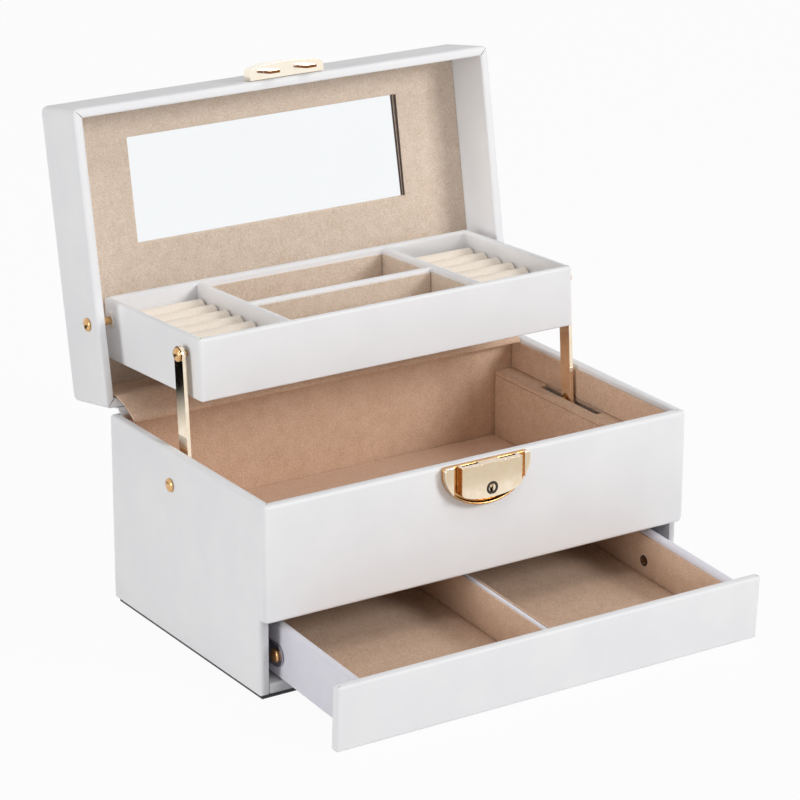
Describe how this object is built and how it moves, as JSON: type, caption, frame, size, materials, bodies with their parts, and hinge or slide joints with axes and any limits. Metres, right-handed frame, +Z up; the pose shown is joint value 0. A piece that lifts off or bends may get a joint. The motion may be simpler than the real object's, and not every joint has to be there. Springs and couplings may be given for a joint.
{
  "type": "jewelry box",
  "caption": "Leather jewelry box with a mirrored lid, a tray with ring rolls that swings up with the lid, a front lock, and a drawer that slides out as it opens.",
  "frame": {"origin": "middle of the case's footprint, on the surface that the base board rests on", "axes": "+Z up, the front with the lock and drawer looks along -Y, +X to the right seen from the front"},
  "size_m": [0.2538, 0.2843, 0.2626],
  "materials": {
    "white_leather": "smooth semi-matt",
    "beige_suede": "napped matt",
    "drawer_wrap": "smooth matt",
    "champagne_gold": "polished plated",
    "dark_brass": "polished",
    "bare_steel": "brushed",
    "cream_velvet": "napped matt",
    "mirror_glass": "mirror",
    "black_base": "matt"
  },
  "bodies": {
    "case": {"base_board": "black_base", "case_floor": "white_leather", "wall_left": "white_leather", "wall_right": "white_leather", "wall_rear": "white_leather", "front_panel": "white_leather", "drawer_shelf": "white_leather", "compartment_pad": "beige_suede", "lining_rear": "beige_suede", "lining_front": "beige_suede", "lining_side_left": "beige_suede", "lining_side_right": "beige_suede", "inner_panel_left": "beige_suede", "inner_panel_right": "beige_suede", "tray_ledge_left": "beige_suede", "tray_ledge_right": "beige_suede", "hinge_strip": "white_leather", "lock_plate": "champagne_gold", "case_rivet_left": "champagne_gold", "case_rivet_right": "champagne_gold"},
    "lock_slider": {"lock_slider": "champagne_gold"},
    "lock_cylinder": {"lock_cylinder": "dark_brass"},
    "lid": {"lid_top": "white_leather", "lid_front": "white_leather", "lid_rear": "white_leather", "lid_wall_left": "white_leather", "lid_wall_right": "white_leather", "lid_lining": "beige_suede", "mirror": "mirror_glass", "latch_plate": "champagne_gold", "lid_rivet_left": "champagne_gold", "lid_rivet_right": "champagne_gold"},
    "tray": {"tray_floor": "white_leather", "tray_front": "white_leather", "tray_rear": "white_leather", "tray_side_left": "white_leather", "tray_side_right": "white_leather", "tray_divider_left": "white_leather", "tray_divider_right": "white_leather", "tray_divider_middle": "white_leather", "ring_rolls_left": "cream_velvet", "ring_rolls_right": "cream_velvet", "tray_pad_front": "beige_suede", "tray_pad_rear": "beige_suede"},
    "arm_left": {"arm_left": "champagne_gold", "arm_rivet_left": "champagne_gold"},
    "arm_right": {"arm_right": "champagne_gold", "arm_rivet_right": "champagne_gold"},
    "drawer_runner": {"drawer_bar_left": "bare_steel", "drawer_bar_right": "bare_steel"},
    "drawer": {"drawer_front": "white_leather", "drawer_side_left": "drawer_wrap", "drawer_side_right": "drawer_wrap", "drawer_rear": "drawer_wrap", "drawer_floor": "drawer_wrap", "drawer_divider": "drawer_wrap", "drawer_pad_left": "beige_suede", "drawer_pad_right": "beige_suede", "drawer_rivet_left": "dark_brass", "drawer_rivet_right": "dark_brass"}
  },
  "joints": [
    {"name": "lid_hinge", "type": "hinge", "parent": "case", "child": "lid", "pos_m": [0, 0.0782, 0.1025], "axis": [1, 0, 0], "range_deg": [0, 100.2]},
    {"name": "tray_swing", "type": "hinge", "parent": "lid", "child": "tray", "pos_m": [0, 0.0965, 0.14452], "axis": [1, 0, 0], "range_deg": [-97.24, 0]},
    {"name": "arm_left_swing", "type": "hinge", "parent": "case", "child": "arm_left", "pos_m": [0, 0.0138, 0.0845], "axis": [1, 0, 0], "range_deg": [0, 67.25]},
    {"name": "arm_right_swing", "type": "hinge", "parent": "case", "child": "arm_right", "pos_m": [0, 0.0138, 0.0845], "axis": [1, 0, 0], "range_deg": [0, 67.25]},
    {"name": "drawer_slide", "type": "slide", "parent": "case", "child": "drawer_runner", "axis": [0, 1, 0], "range_m": [0, 0.0643]},
    {"name": "drawer_droop", "type": "hinge", "parent": "drawer_runner", "child": "drawer", "pos_m": [0, -0.0679, 0.021], "axis": [1, 0, 0], "range_deg": [-3.2, 0]},
    {"name": "lock_slide", "type": "slide", "parent": "case", "child": "lock_slider", "axis": [1, 0, 0], "range_m": [0, 0.0014], "stiffness_N_per_m": 150},
    {"name": "key_turn", "type": "hinge", "parent": "lock_slider", "child": "lock_cylinder", "pos_m": [0, -0.0821, 0.0893], "axis": [0, 1, 0], "range_deg": [0, 90]}
  ],
  "couplings": [
    {"joint": "tray_swing", "follows": "lid_hinge", "ratio": -0.97046},
    {"joint": "arm_left_swing", "follows": "lid_hinge", "ratio": 0.67119},
    {"joint": "arm_right_swing", "follows": "lid_hinge", "ratio": 0.67119},
    {"joint": "drawer_slide", "follows": "lid_hinge", "m_per_rad": 0.036768},
    {"joint": "drawer_droop", "follows": "lid_hinge", "ratio": -0.031936}
  ]
}
